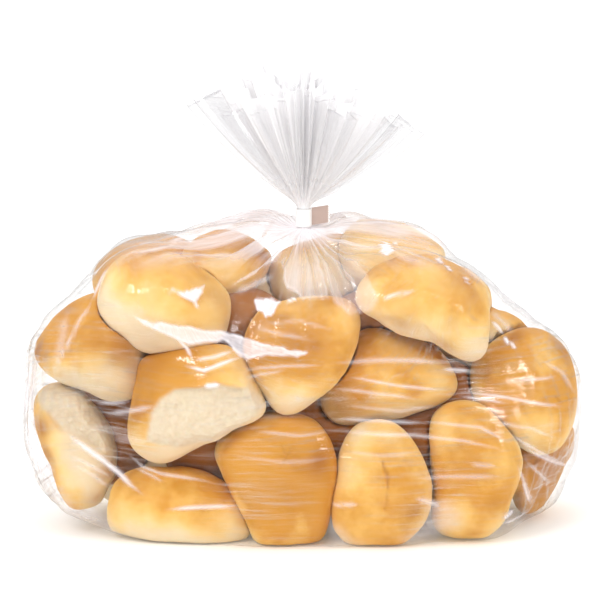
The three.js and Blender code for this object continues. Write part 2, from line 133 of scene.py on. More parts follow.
# The outlines of the rolls that show, as the viewer sees them: corners to the right of the neck's axis
# and above the floor. Where another roll covers an outline it is a guess.
OUTLINES = {
    "left_shoulder": ((-154, 105), (-149, 113), (-142, 122), (-131, 130), (-121, 135), (-109, 137),
        (-96, 127), (-87, 107), (-88, 89), (-93, 75), (-111, 75), (-127, 82), (-141, 88), (-150, 95),
        (-154, 101)),
    "left_top": ((-116, 140), (-112, 151), (-108, 157), (-100, 161), (-90, 164), (-78, 163), (-62, 157),
        (-50, 149), (-42, 139), (-41, 129), (-46, 116), (-56, 108), (-70, 106), (-78, 106), (-90, 108),
        (-101, 114), (-110, 119), (-116, 130)),
    "left_crest": ((-70, 156), (-62, 165), (-51, 168), (-40, 167), (-28, 161), (-19, 154), (-18, 150),
        (-22, 142), (-34, 134), (-46, 130), (-63, 133), (-71, 146)),
    "centre": ((-26, 129), (-19, 132), (-10, 133), (0, 135), (14, 136), (23, 135), (30, 131), (33, 121),
        (32, 109), (26, 96), (17, 86), (4, 77), (-7, 71), (-15, 72), (-21, 80), (-30, 95), (-35, 107),
        (-34, 115), (-31, 122)),
    "torn_centre": ((-98, 72), (-99, 59), (-95, 51), (-90, 47), (-84, 42), (-75, 42), (-67, 47), (-50, 56),
        (-36, 65), (-23, 72), (-20, 76), (-26, 89), (-31, 98), (-35, 106), (-40, 111), (-47, 112), (-60, 111),
        (-73, 110), (-81, 108), (-89, 104), (-94, 100), (-95, 89)),
    "torn_left": ((-155, 73), (-152, 80), (-146, 84), (-135, 85), (-126, 80), (-117, 70), (-112, 63),
        (-108, 54), (-106, 44), (-106, 32), (-112, 22), (-115, 14), (-122, 12), (-134, 11), (-141, 23),
        (-145, 37), (-151, 49), (-154, 58), (-155, 66)),
    "front_left": ((-113, 16), (-110, 27), (-105, 35), (-101, 40), (-89, 43), (-70, 42), (-53, 39), (-40, 31),
        (-32, 19), (-29, 7), (-33, -1), (-47, -5), (-63, -6), (-87, -4), (-104, -2), (-111, 4)),
    "front_middle": ((-50, 51), (-48, 43), (-44, 34), (-37, 20), (-31, 8), (-27, -2), (-16, -5), (-2, -4),
        (10, -2), (14, 11), (17, 28), (19, 41), (17, 54), (12, 63), (4, 70), (-10, 74), (-24, 73), (-36, 66),
        (-45, 59)),
    "front_right": ((19, 47), (20, 52), (25, 61), (32, 67), (41, 69), (50, 67), (59, 60), (67, 48), (72, 35),
        (73, 23), (71, 14), (66, 6), (56, -1), (46, -3), (34, -4), (25, -1), (17, 6), (15, 16), (16, 28),
        (18, 38)),
    "front_far_right": ((69, 61), (70, 67), (75, 73), (84, 77), (94, 77), (104, 72), (113, 64), (120, 55),
        (124, 45), (123, 35), (119, 24), (116, 14), (109, 5), (103, 0), (88, -1), (77, 1), (72, 7), (72, 18),
        (72, 31), (70, 45)),
    "right_middle": ((24, 106), (33, 114), (42, 116), (56, 114), (68, 109), (80, 102), (85, 94), (88, 86),
        (86, 78), (74, 71), (61, 65), (39, 63), (24, 60), (12, 63), (7, 74), (9, 89), (15, 99)),
    "right_side": ((94, 83), (96, 93), (101, 101), (115, 111), (125, 115), (135, 115), (142, 112), (153, 103),
        (158, 94), (160, 84), (159, 72), (156, 58), (148, 44), (140, 41), (130, 42), (121, 49), (111, 61),
        (99, 71), (95, 77)),
    "right_top": ((29, 138), (32, 144), (39, 152), (52, 159), (66, 160), (80, 159), (91, 156), (99, 148),
        (103, 138), (105, 127), (105, 120), (104, 108), (101, 101), (95, 98), (89, 100), (79, 108), (66, 117),
        (52, 121), (39, 125), (32, 129)),
    "right_crest": ((20, 156), (24, 165), (30, 171), (41, 174), (51, 173), (62, 169), (73, 162), (83, 155),
        (79, 142), (56, 130), (36, 133), (24, 142)),
    "right_foot": ((123, 25), (131, 34), (142, 43), (160, 55), (163, 46), (162, 37), (155, 28), (150, 18),
        (143, 7), (138, 3), (129, -1), (123, 7)),
}
FOOT_SINK = 3  # the bag's own weight lowers them all by this
SQUARENESS = 2.6  # exponent of the rolls' rounded-box form: 2 is an ellipsoid
OUTLINE_TURNS = 72  # each outline is fitted in this many directions

HEART_Z = 80  # the film is laid out by rays from this height on the neck's axis
NECK_RADIUS = 3.6
NECK_BASE_Z = 172
SPLIT_Z = 177.5  # inside the tape, where the body of the bag becomes its gathered top
TAPE_HEIGHT = 10

# ------------------------------------------------------------ small helpers


def smoothstep(low, high, value):
    share = np.clip((value - low) / (high - low), 0, 1)
    return share * share * (3 - 2 * share)


def noise(points, size, seed):
    """Smooth noise from -1 to 1 at (n, 3) points, with features of about the given size."""
    spot = points / np.asarray(size, float) + 500.5
    cell = np.floor(spot).astype(np.int64)
    part = spot - cell
    part = part * part * (3 - 2 * part)
    total = np.zeros(len(points))
    for corner in itertools.product((0, 1), repeat=3):
        at = cell + corner
        key = at[:, 0] * 73856093 ^ at[:, 1] * 19349663 ^ at[:, 2] * 83492791 ^ seed * 40503
        key = ((key & 0xFFFFFFFF) ^ ((key & 0xFFFFFFFF) >> 13)) * 1274126177 & 0xFFFFFFFF
        key ^= key >> 16
        weight = np.prod(np.where(corner, part, 1 - part), axis=1)
        total += ((key & 0xFFFF) / 32767.5 - 1) * weight
    return total


def creases(points, size, seed):
    """Sharp valleys with rounded ground between them, about level on average."""
    return 2.4 * np.abs(noise(points, size, seed)) - 0.6


def bell(distance, radius):
    return np.exp(-((distance / radius) ** 2))


def depth_inside(spots, corners):
    """How far inside a polygon flat spots lie, and less than 0 outside it."""
    corners = np.array(corners, float)
    nearest = np.full(len(spots), np.inf)
    inside = np.zeros(len(spots), bool)
    for a, b in zip(corners, np.roll(corners, -1, 0)):
        side = b - a
        share = np.clip((spots - a) @ side / (side @ side), 0, 1)
        nearest = np.minimum(nearest, np.linalg.norm(spots - a - share[:, None] * side, axis=1))
        crosses = (a[1] > spots[:, 1]) != (b[1] > spots[:, 1])
        at = a[0] + (spots[:, 1] - a[1]) * side[0] / (side[1] or 1)
        inside ^= crosses & (spots[:, 0] < at)
    return np.where(inside, nearest, -nearest)


def add_mesh(name, points, faces, material, attributes=None):
    """A smooth mesh piece from points in millimetres about the neck's axis, with values at the points."""
    mesh = bpy.data.meshes.new(name)
    placed = np.asarray(points, float) * MM + np.array([neck.x, neck.y, 0])
    mesh.from_pydata(placed.tolist(), [], [list(map(int, face)) for face in faces])
    for key, values in (attributes or {}).items():
        values = np.asarray(values, np.float32)
        kind, field = ("FLOAT", "value") if values.ndim == 1 else ("FLOAT_VECTOR", "vector")
        mesh.attributes.new(key, kind, "POINT").data.foreach_set(field, values.ravel())
    mesh.shade_smooth()
    mesh.materials.append(material)
    piece = bpy.data.objects.new(name, mesh)
    bpy.context.scene.collection.objects.link(piece)
    return piece


def node_mesh(name):
    """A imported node's vertices, in millimetres about the neck's axis, and its faces."""
    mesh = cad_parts[name].data
    points = np.zeros(len(mesh.vertices) * 3)
    mesh.vertices.foreach_get("co", points)
    return points.reshape(-1, 3) / MM, [tuple(face.vertices) for face in mesh.polygons]


def neck_axis():
    """Where the neck stands: the middle of the gathered top's lowest ring."""
    points, _ = node_mesh("gathered_top")
    ring = points[points[:, 2] < points[:, 2].min() + 0.01]
    middle = (ring.min(0) + ring.max(0)) / 2
    return Vector((middle[0] * MM, middle[1] * MM, 0))


neck = neck_axis()


# ------------------------------------------------------------ node materials

PALE_CRUST = (0.86, 0.7, 0.46, 1)
GOLDEN_CRUST = (0.88, 0.62, 0.26, 1)
BAKED_CRUST = (0.82, 0.48, 0.125, 1)
BROWN_CRUST = (0.66, 0.31, 0.045, 1)
# The scorched brown also paints shade: the inner rolls are darkened with it.
SCORCHED_AND_SHADED_CRUST = (0.36, 0.115, 0.01, 1)
CRUMB = (0.82, 0.72, 0.55, 1)
CRUMB_HOLLOW = (0.66, 0.51, 0.33, 1)
FILM_MIRROR = (0.59, 0.55, 0.53, 1)
# The film's milky white, which also paints its highlights.
FILM_MILK_AND_GLINT = (0.89, 0.84, 0.87, 1)
OUTER_MIRROR = (0.62, 0.61, 0.63, 1)
INNER_MIRROR = (0.92, 0.91, 0.93, 1)
FRILL_MILK = (0.98, 0.97, 0.98, 1)
TAPE_WHITE = (0.93, 0.92, 0.91, 1)
# The flag's beige, partly its own colour and partly painted shade for the shadow it lies in.
FLAG_BEIGE_AND_SHADE = (0.5, 0.37, 0.32, 1)


def new_material(name):
    material = bpy.data.materials.new(name)
    material.use_nodes = True
    material.node_tree.nodes.clear()
    return material


def put(tree, kind, inputs=None, **settings):
    """Adds a node. An input that is a socket is linked, and any other value is set."""
    node = tree.nodes.new("ShaderNode" + kind)
    for key, value in settings.items():
        setattr(node, key, value)
    for key, value in (inputs or {}).items():
        if isinstance(value, bpy.types.NodeSocket):
            tree.links.new(value, node.inputs[key])
        else:
            node.inputs[key].default_value = value
    return node


def maths(tree, operation, a, b=0.0, c=0.0, clamp=False):
    return put(tree, "Math", {0: a, 1: b, 2: c}, operation=operation, use_clamp=clamp).outputs[0]


def stepped(tree, value, start, end, first, last):
    """Goes smoothly from first to last as the value goes from start to end."""
    inputs = {0: value, 1: start, 2: end, 3: first, 4: last}
    return put(tree, "MapRange", inputs, interpolation_type="SMOOTHSTEP").outputs[0]


def attribute(tree, name):
    return put(tree, "Attribute", attribute_name=name).outputs["Fac"]


def mottling(tree, place, scale, detail, roughness):
    inputs = {"Vector": place, "Scale": scale, "Detail": detail, "Roughness": roughness}
    return put(tree, "TexNoise", inputs).outputs[0]


def mixed(tree, share, a, b):
    """A colour between a and b."""
    node = put(tree, "Mix", data_type="RGBA")
    for index, value in ((0, share), (6, a), (7, b)):
        if isinstance(value, bpy.types.NodeSocket):
            tree.links.new(value, node.inputs[index])
        else:
            node.inputs[index].default_value = value
    return node.outputs[2]


def finish_material(tree, shader):
    put(tree, "OutputMaterial", {"Surface": shader.outputs[0]})


def film_material(name, clear, edge_share, mirror, milky):
    """Thin film: it shows what is behind it, mirrors the lights, and is milky where it is gathered. Where
    glints are painted into its milk, it shows painted highlights.

    It covers what is behind it by the share clear where it faces the viewer, and more by edge_share
    where it is seen along its surface.
    """
    material = new_material(name)
    tree = material.node_tree
    fan = put(tree, "Attribute", attribute_name="fan").outputs["Vector"]
    fine = mottling(tree, fan, 0.55, 4.0, 0.65)
    wide = mottling(tree, fan, 0.13, 3.0, 0.5)
    lines = maths(tree, "POWER", maths(tree, "MULTIPLY_ADD", fine, 2.0, -0.42, clamp=True), 4.0)
    bands = stepped(tree, wide, 0.5, 0.62, 0.0, 1.0)
    stretched = attribute(tree, "stretched")
    bands = maths(tree, "MULTIPLY", bands, 0.035)
    streaks = maths(tree, "ADD", maths(tree, "MULTIPLY", lines, 0.85), bands)
    streaks = maths(tree, "MULTIPLY", streaks, stretched)
    streaks = maths(tree, "ADD", streaks, maths(tree, "MULTIPLY", attribute(tree, "folded"), 0.5))
    uneven = maths(tree, "MULTIPLY_ADD", fine, 0.7, 0.65)
    milk = maths(tree, "MULTIPLY", attribute(tree, "milk"), uneven, clamp=True)
    facing = put(tree, "LayerWeight", {"Blend": 0.5}).outputs["Facing"]
    edge = maths(tree, "MULTIPLY", maths(tree, "POWER", facing, 5.0), edge_share)
    cover = maths(tree, "ADD", edge, maths(tree, "ADD", streaks, clear), clamp=True)
    relief = maths(tree, "MULTIPLY", fine, maths(tree, "MULTIPLY_ADD", stretched, 0.8, 0.2))
    bump = put(tree, "Bump", {"Strength": 0.35, "Distance": 0.0008, "Height": relief}).outputs[0]
    gloss = put(
        tree,
        "BsdfPrincipled",
        {"Base Color": mirror, "Metallic": 0.9, "Roughness": 0.08, "Normal": bump},
    )
    clear_view = put(tree, "BsdfTransparent", {"Color": (1, 1, 1, 1)})
    clear_film = put(tree, "MixShader", {0: cover, 1: clear_view.outputs[0], 2: gloss.outputs[0]})
    creased = put(tree, "BsdfPrincipled", {"Base Color": milky, "Roughness": 0.35, "Normal": bump})
    finish_material(tree, put(tree, "MixShader", {0: milk, 1: clear_film.outputs[0], 2: creased.outputs[0]}))
    return material


def crust_material():
    """Soft satin crust: cream at the base, golden to brown on top, and rough pale crumb where it is torn."""
    material = new_material("crust")
    tree = material.node_tree
    place = put(tree, "TexCoord").outputs["Object"]
    mottle = mottling(tree, place, 60.0, 5.0, 0.6)
    level = maths(tree, "ADD", attribute(tree, "baked"), maths(tree, "MULTIPLY_ADD", mottle, 0.8, -0.4))
    level = maths(tree, "SUBTRACT", level, maths(tree, "MULTIPLY", attribute(tree, "pale"), 0.55), clamp=True)
    ramp = put(tree, "ValToRGB", {"Fac": level})
    stops = ramp.color_ramp.elements
    stops[0].color = PALE_CRUST
    stops[1].position = 0.42
    stops[1].color = GOLDEN_CRUST
    stops.new(0.75).color = BAKED_CRUST
    stops.new(1.0).color = BROWN_CRUST
    # Darker towards scorched brown: real scorched spots and marks, and painted shade on the inner rolls.
    scorch_and_shade = maths(tree, "MULTIPLY", attribute(tree, "scorch_and_shade"), 0.9, clamp=True)
    crust = mixed(tree, scorch_and_shade, ramp.outputs[0], SCORCHED_AND_SHADED_CRUST)
    grain = mottling(tree, place, 350.0, 4.0, 0.5)
    crumb = mixed(tree, grain, CRUMB_HOLLOW, CRUMB)
    torn = attribute(tree, "torn")
    colour = mixed(tree, torn, crust, crumb)
    rough = maths(tree, "MULTIPLY_ADD", torn, 0.4, 0.5)
    pores = mottling(tree, place, 650.0, 3.0, 0.7)
    depth = maths(tree, "MULTIPLY", pores, maths(tree, "MULTIPLY_ADD", torn, 3.0, 1.0))
    bump = put(tree, "Bump", {"Strength": 0.2, "Distance": 0.0006, "Height": depth}).outputs[0]
    bread = put(
        tree,
        "BsdfPrincipled",
        {
            "Base Color": colour,
            "Roughness": rough,
            "Normal": bump,
            "Subsurface Weight": 0.15,
            "Subsurface Radius": (1.0, 0.45, 0.2),
            "Subsurface Scale": 0.004,
            "Specular IOR Level": 0.22,
        },
    )
    finish_material(tree, bread)
    return material


def plain_material(name, colour, roughness):
    material = new_material(name)
    tree = material.node_tree
    finish_material(tree, put(tree, "BsdfPrincipled", {"Base Color": colour, "Roughness": roughness}))
    return material


def tape_material():
    """White round the neck, with the flag's sticky side beige out to its toothed white end. The beige is
    partly its own colour and partly painted shade.
    """
    material = new_material("tape")
    tree = material.node_tree
    place = put(tree, "SeparateXYZ", {0: put(tree, "TexCoord").outputs["Object"]}).outputs
    teeth = maths(tree, "PINGPONG", place[2], 0.0006)
    from_neck = maths(tree, "SUBTRACT", place[0], neck.x)
    on_flag = maths(tree, "GREATER_THAN", from_neck, 0.0047)
    flag_end = max(point.co.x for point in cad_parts["neck_tape"].data.vertices) - neck.x
    before_end = maths(tree, "LESS_THAN", maths(tree, "ADD", from_neck, teeth), flag_end - 0.0009)
    colour = mixed(tree, maths(tree, "MULTIPLY", on_flag, before_end), TAPE_WHITE, FLAG_BEIGE_AND_SHADE)
    finish_material(tree, put(tree, "BsdfPrincipled", {"Base Color": colour, "Roughness": 0.5}))
    return material


# ------------------------------------------------------------ the film's form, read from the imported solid

COARSE_ROWS = 120
COARSE_TURNS = 240
FIRST_ANGLE = math.atan2(NECK_RADIUS, NECK_BASE_Z - HEART_Z) * 1.06


def rays(angles, turns):
    """Unit directions from the heart for an angle from straight up and a turn from the right."""
    return np.stack([np.sin(angles) * np.cos(turns), np.sin(angles) * np.sin(turns), np.cos(angles)], -1)


def spread_directions(count):
    """Directions spread evenly over a sphere."""
    height = 1 - (2 * np.arange(count) + 1) / count
    return rays(np.arccos(height), math.pi * (3 - math.sqrt(5)) * np.arange(count))


def coarse_grid():
    angles = np.linspace(FIRST_ANGLE, math.pi, COARSE_ROWS)
    turns = np.arange(COARSE_TURNS) * 2 * math.pi / COARSE_TURNS
    return np.meshgrid(angles, turns, indexing="ij")


def blurred(grid, passes):
    """Evens out a grid of the film, which wraps round."""
    for _ in range(passes):
        beside = np.roll(grid, 1, 1) + np.roll(grid, -1, 1)
        above = np.vstack([grid[:1], grid[:-1]])
        below = np.vstack([grid[1:], grid[-1:]])
        grid = (2 * grid + beside + above + below) / 6
    return grid


def solid_distances():
    """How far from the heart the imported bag's skin is, over the coarse grid."""
    points, faces = node_mesh("filled_bag")
    heart = Vector((neck.x / MM, neck.y / MM, HEART_Z))
    tree = BVHTree.FromPolygons(points.tolist(), faces)
    directions = rays(*coarse_grid()).reshape(-1, 3)
    found = [tree.ray_cast(heart, Vector(d))[3] for d in directions]
    return np.array(found, float).reshape(COARSE_ROWS, COARSE_TURNS)


def taut_distances():
    """How far from the heart film is that is drawn tight round the whole bag."""
    points, _ = node_mesh("filled_bag")
    points = points[points[:, 2] < 168] - (neck.x / MM, neck.y / MM, HEART_Z)
    normals = spread_directions(2400)
    offsets = (points @ normals.T).max(0)
    directions = rays(*coarse_grid()).reshape(-1, 3)
    found = []
    for some in np.array_split(directions, 24):
        facing = some @ normals.T
        found.append(np.where(facing > 0.05, offsets / np.maximum(facing, 0.05), np.inf).min(1))
    return np.concatenate(found).reshape(COARSE_ROWS, COARSE_TURNS)


def film_distances():
    """The film follows the solid's rolls, but spans the gaps between them more tautly."""
    solid, taut = solid_distances(), taut_distances()
    angles, _ = coarse_grid()
    share = 0.55 * (1 - smoothstep(0.55, 0.85, np.cos(angles)))
    return blurred(solid + share * np.maximum(taut - solid, 0), 3)


def cubic_weights(share):
    return (
        ((-share + 2) * share - 1) * share / 2,
        ((3 * share - 5) * share * share + 2) / 2,
        ((-3 * share + 4) * share + 1) * share / 2,
        (share - 1) * share * share / 2,
    )


def read_grid(grid, angles, turns):
    """A smooth reading of a coarse grid at any angles and turns."""
    rows = (angles - FIRST_ANGLE) / (math.pi - FIRST_ANGLE) * (COARSE_ROWS - 1)
    rows = np.clip(rows, 0, COARSE_ROWS - 1.001)
    columns = (turns / (2 * math.pi) * COARSE_TURNS) % COARSE_TURNS
    row, column = np.floor(rows).astype(int), np.floor(columns).astype(int)
    down, across = cubic_weights(rows - row), cubic_weights(columns - column)
    total = 0
    for i, j in itertools.product(range(4), repeat=2):
        picked = grid[np.clip(row + i - 1, 0, COARSE_ROWS - 1), (column + j - 1) % COARSE_TURNS]
        total = total + down[i] * across[j] * picked
    return total


film_distance = film_distances()


# ------------------------------------------------------------ the rolls


def roll_axes(crown, spin):
    """The roll's own axes as columns: its length, its width and out of its crown."""
    turn, rise = np.radians(crown)
    out = np.array([math.cos(rise) * math.sin(turn), -math.cos(rise) * math.cos(turn), math.sin(rise)])
    level = np.array([math.cos(turn), math.sin(turn), 0])
    spin = math.radians(spin)
    long = level * math.cos(spin) + np.cross(out, level) * math.sin(spin)
    return np.stack([long, np.cross(out, long), out], 1)


class Roll:
    """One roll's place and plain form."""

    def __init__(self, name, at, size, crown, spin):
        self.name = name
        self.centre = np.array(at, float) - (0, 0, FOOT_SINK)
        self.half = np.array(size, float) / 2
        self.axes = roll_axes(crown, spin)
        self.widening = np.ones(OUTLINE_TURNS)
        if name in OUTLINES:
            self.widening = self.fit_outline(np.array(OUTLINES[name], float) - self.centre[[0, 2]])

    def plain_points(self, directions):
        """The plain rounded box's skin in the given directions, about the roll's centre."""
        scale = (np.abs(directions / self.half) ** SQUARENESS).sum(1) ** (-1 / SQUARENESS)
        return directions * scale[:, None] @ self.axes.T

    def fit_outline(self, corners):
        """How much wider than the plain form the roll looks to the viewer, all the way round."""
        spots = self.plain_points(spread_directions(6000))
        turns = np.arctan2(spots[:, 2], spots[:, 0])
        ratios = []
        for turn in np.arange(OUTLINE_TURNS) * 2 * math.pi / OUTLINE_TURNS:
            away = np.abs((turns - turn + math.pi) % (2 * math.pi) - math.pi)
            plain = np.hypot(spots[:, 0], spots[:, 2])[away < 0.06].max()
            toward = np.array([math.cos(turn), math.sin(turn)])
            ratios.append(ray_length(toward, corners) / plain)
        for _ in range(2):
            ratios = (np.roll(ratios, 1) + 2 * np.array(ratios) + np.roll(ratios, -1)) / 4
        return np.clip(ratios, 0.6, 1.5)

    def widened(self, away, power=1):
        """Places about the roll's centre, moved out (or in, for power -1) to suit its outline."""
        turn = np.arctan2(away[:, 2], away[:, 0]) / (2 * math.pi) * OUTLINE_TURNS % OUTLINE_TURNS
        ratio = np.interp(turn, np.arange(OUTLINE_TURNS + 1), [*self.widening, self.widening[0]]) ** power
        return away * np.stack([ratio, np.ones(len(away)), ratio], 1)

    def level(self, points):
        """1 on the form, less inside it."""
        own = self.widened(points - self.centre, -1) @ self.axes
        return (np.abs(own / self.half) ** SQUARENESS).sum(-1) ** (1 / SQUARENESS)


def ray_length(toward, corners):
    """How far a polygon round the origin reaches in a direction."""
    reached = 1.0
    for a, b in zip(corners, np.roll(corners, -1, 0)):
        side = b - a
        cross = toward[0] * side[1] - toward[1] * side[0]
        if abs(cross) > 1e-9:
            length = (a[0] * side[1] - a[1] * side[0]) / cross
            share = (a[0] * toward[1] - a[1] * toward[0]) / cross
            if 0 <= share <= 1 and length > reached:
                reached = length
    return reached


rolls = [Roll(name, *facts) for name, facts in ROLLS.items()]


def cube_sphere(steps):
    """Directions over a sphere and the quads between them, from a cube's six gridded sides."""
    line = np.tan(np.linspace(-math.pi / 4, math.pi / 4, steps + 1))
    seen, directions, quads = {}, [], []
    for axis, sign in itertools.product(range(3), (-1, 1)):
        grid = {}
        for i, j in itertools.product(range(steps + 1), repeat=2):
            point = [0.0, 0.0, 0.0]
            point[axis], point[(axis + 1) % 3], point[(axis + 2) % 3] = sign, line[i], line[j]
            key = tuple(round(part, 6) for part in point)
            if key not in seen:
                seen[key] = len(directions)
                directions.append(point)
            grid[i, j] = seen[key]
        for i, j in itertools.product(range(steps), repeat=2):
            quad = [grid[i, j], grid[i + 1, j], grid[i + 1, j + 1], grid[i, j + 1]]
            quads.append(quad if sign > 0 else quad[::-1])
    directions = np.array(directions)
    return directions / np.linalg.norm(directions, axis=1, keepdims=True), quads


GIVE = 1.015  # a roll keeps outside this share of the form of one that lies nearer to the viewer
PUSH = 0.93  # and outside this share of one that lies further off


def pressed_by_neighbours(roll, points):
    """A roll gives way to its neighbours, and most to any that lies nearer to the viewer."""
    for other in rolls:
        reach = np.linalg.norm(other.centre - roll.centre)
        if other is roll or reach > roll.half.max() + other.half.max():
            continue
        low, high = np.zeros(len(points)), np.ones(len(points))
        limit = GIVE if other.centre[1] < roll.centre[1] else PUSH
        inside = other.level(points) < limit
        if not inside.any():
            continue
        for _ in range(12):
            middle = (low + high) / 2
            trial = roll.centre + (points - roll.centre) * middle[:, None]
            blocked = other.level(trial) < limit
            high = np.where(blocked, middle, high)
            low = np.where(blocked, low, middle)
        points = np.where(inside[:, None], roll.centre + (points - roll.centre) * low[:, None], points)
    return points


def inside_film(points, clearance):
    """Draws points in to lie inside the film."""
    heart = np.array([0, 0, HEART_Z])
    away = points - heart
    distance = np.linalg.norm(away, axis=1)
    angles = np.arccos(np.clip(away[:, 2] / distance, -1, 1))
    turns = np.arctan2(away[:, 1], away[:, 0])
    limit = read_grid(film_distance, np.maximum(angles, FIRST_ANGLE), turns) - clearance
    kept = np.minimum(distance, limit)
    points = heart + away * (kept / distance)[:, None]
    points[:, 2] = np.maximum(points[:, 2], clearance)
    return points


# How much browner a roll is than the others, from -1 to 1, and how much painted shade darkens the inner
# ones, which lie in the others' shade.
BROWNER = {
    "left_shoulder": 0.1,
    "left_top": -0.1,
    "left_crest": 0.05,
    "left_crest_back": 0.15,
    "centre": 0.05,
    "torn_centre": 0.1,
    "front_middle": 0.25,
    "front_right": -0.05,
    "right_middle": 0.15,
    "right_side": 0.05,
    "right_top": -0.05,
    "right_crest": -0.35,
    "right_foot": 0.4,
}
INNER_PAINTED_SHADE = 1.0


def surface_spot(points, where):
    """The point of a roll's front nearest to a place as the viewer sees it."""
    away = np.hypot(*(points[:, (0, 2)] - where).T)
    return points[np.argmin(away + 1000 * (points[:, 1] > points[:, 1].mean()))]


def crack_distance(points, first, last, seed):
    """How far points are from a wavering line between two spots."""
    along = last - first
    share = np.clip((points - first) @ along / (along @ along), 0, 1)
    nearest = first + share[:, None] * along
    waver = noise(points, 5, seed)[:, None] * np.array([1.6, 0.2, 0.6])
    taper = 1 + 1.5 * np.abs(share - 0.5)
    return np.linalg.norm(points + waver - nearest, axis=1) * taper


def tear(points, looks, corners, depth, seed):
    """Flattens a roll's side to bare crumb inside an outline, where it was pulled from the next roll."""
    crumb = 0.6 * noise(points, 3.2, seed + 1) + 0.5 * noise(points, 1.6, seed + 2)
    front = points[:, 1] < points[:, 1].mean()
    inside = depth_inside(points[:, (0, 2)], corners) + 0.8 * noise(points, 7, seed)
    torn = smoothstep(-1.5, 2.2, inside) * front
    looks["torn"] = np.maximum(looks["torn"], torn)
    level = points[:, 1].min() + depth
    flat = np.maximum(points[:, 1], level + 0.12 * (points[:, 1] - level))
    cut = np.where(points[:, 1] < level, flat, points[:, 1]) + crumb
    return np.stack([points[:, 0], points[:, 1] * (1 - torn) + cut * torn, points[:, 2]], 1)


def mark_roll(roll, points, looks, seed):
    """Adds the roll's dents, cracks, torn faces, and browner and paler places."""
    for kind, where, size, strength in MARKS.get(roll.name, ()):
        if kind == "torn":
            points = tear(points, looks, where, size, seed + 20)
            continue
        spot = surface_spot(points, where)
        near = np.linalg.norm(points - spot, axis=1)
        out = (points - roll.centre) / np.linalg.norm(points - roll.centre, axis=1, keepdims=True)
        if kind == "crack":
            split = crack_distance(points, spot, surface_spot(points, size), seed + 30)
            points = points - out * (strength * (bell(split, 0.9) - 0.3 * bell(split - 2.2, 1.5)))[:, None]
            looks["scorch_and_shade"] += 0.5 * bell(split, 1.1) * min(strength, 1)
        elif kind == "pucker":
            folds = np.cos(6 * np.arctan2(points[:, 2] - spot[2], points[:, 0] - spot[0]))
            points = points - out * (strength * bell(near, size) * (1 + 0.35 * folds))[:, None]
            looks["scorch_and_shade"] += 0.35 * bell(near, size * 0.8) * (0.5 + 0.5 * folds)
        elif kind == "dent":
            points = points - out * (strength * bell(near, size))[:, None]
            looks["scorch_and_shade"] += 0.12 * max(strength, 0) * bell(near, size * 0.5)
        else:
            ragged = near * (1 + 0.3 * noise(points, 10, seed + 40))
            looks["scorch_and_shade" if kind == "brown" else "pale"] += strength * bell(ragged, size)
    return points


def make_roll(roll, seed, material):
    front = roll.centre[1] < 18 and not roll.name.startswith("inner")
    torn = any(kind == "torn" for kind, *_ in MARKS.get(roll.name, ()))
    directions, quads = cube_sphere((62 if torn else 38) if front else 20)
    own = roll.plain_points(directions) @ roll.axes
    bulge = 2.2 * noise(own, 32, seed) + 1.1 * noise(own, 15, seed + 50) + 0.25 * noise(own, 5, seed + 90)
    own += directions * bulge[:, None]
    points = roll.centre + roll.widened(own @ roll.axes.T)
    height = own[:, 2] / roll.half[2]
    baked = smoothstep(-0.5, 0.95, height + 0.3 * noise(own, 24, seed + 7) + 0.16 * noise(own, 9, seed + 8))
    looks = {"baked": baked + BROWNER.get(roll.name, 0)}
    for key in ("scorch_and_shade", "pale", "torn"):
        looks[key] = np.zeros(len(points))
    # Painted shade: the inner rolls' crust is darkened to stand for the shade of the rolls round them.
    if roll.name.startswith("inner"):
        looks["scorch_and_shade"] += INNER_PAINTED_SHADE
    points = mark_roll(roll, points, looks, seed)
    points = pressed_by_neighbours(roll, points)
    points = inside_film(points, 1.0)
    return add_mesh("roll_" + roll.name, points, quads, material, looks)


# ------------------------------------------------------------ the film

FILM_TURNS_FRONT = 335
FILM_TURNS_BACK = 105
FILM_ROWS = ((60, 50), (125, 140), (140, 15), (177, 14))  # up to this angle in degrees, so many rows


def film_axes():
    """The film's rows and columns, closer together where the viewer sees them."""
    angles, start = [], math.degrees(FIRST_ANGLE)
    for end, count in FILM_ROWS:
        angles.extend(np.linspace(start, end, count, endpoint=False))
        start = end
    angles.append(FILM_ROWS[-1][0])
    back = np.linspace(0, math.pi, FILM_TURNS_BACK, endpoint=False)
    front = np.linspace(math.pi, 2 * math.pi, FILM_TURNS_FRONT, endpoint=False)
    return np.radians(angles), np.concatenate([back, front])


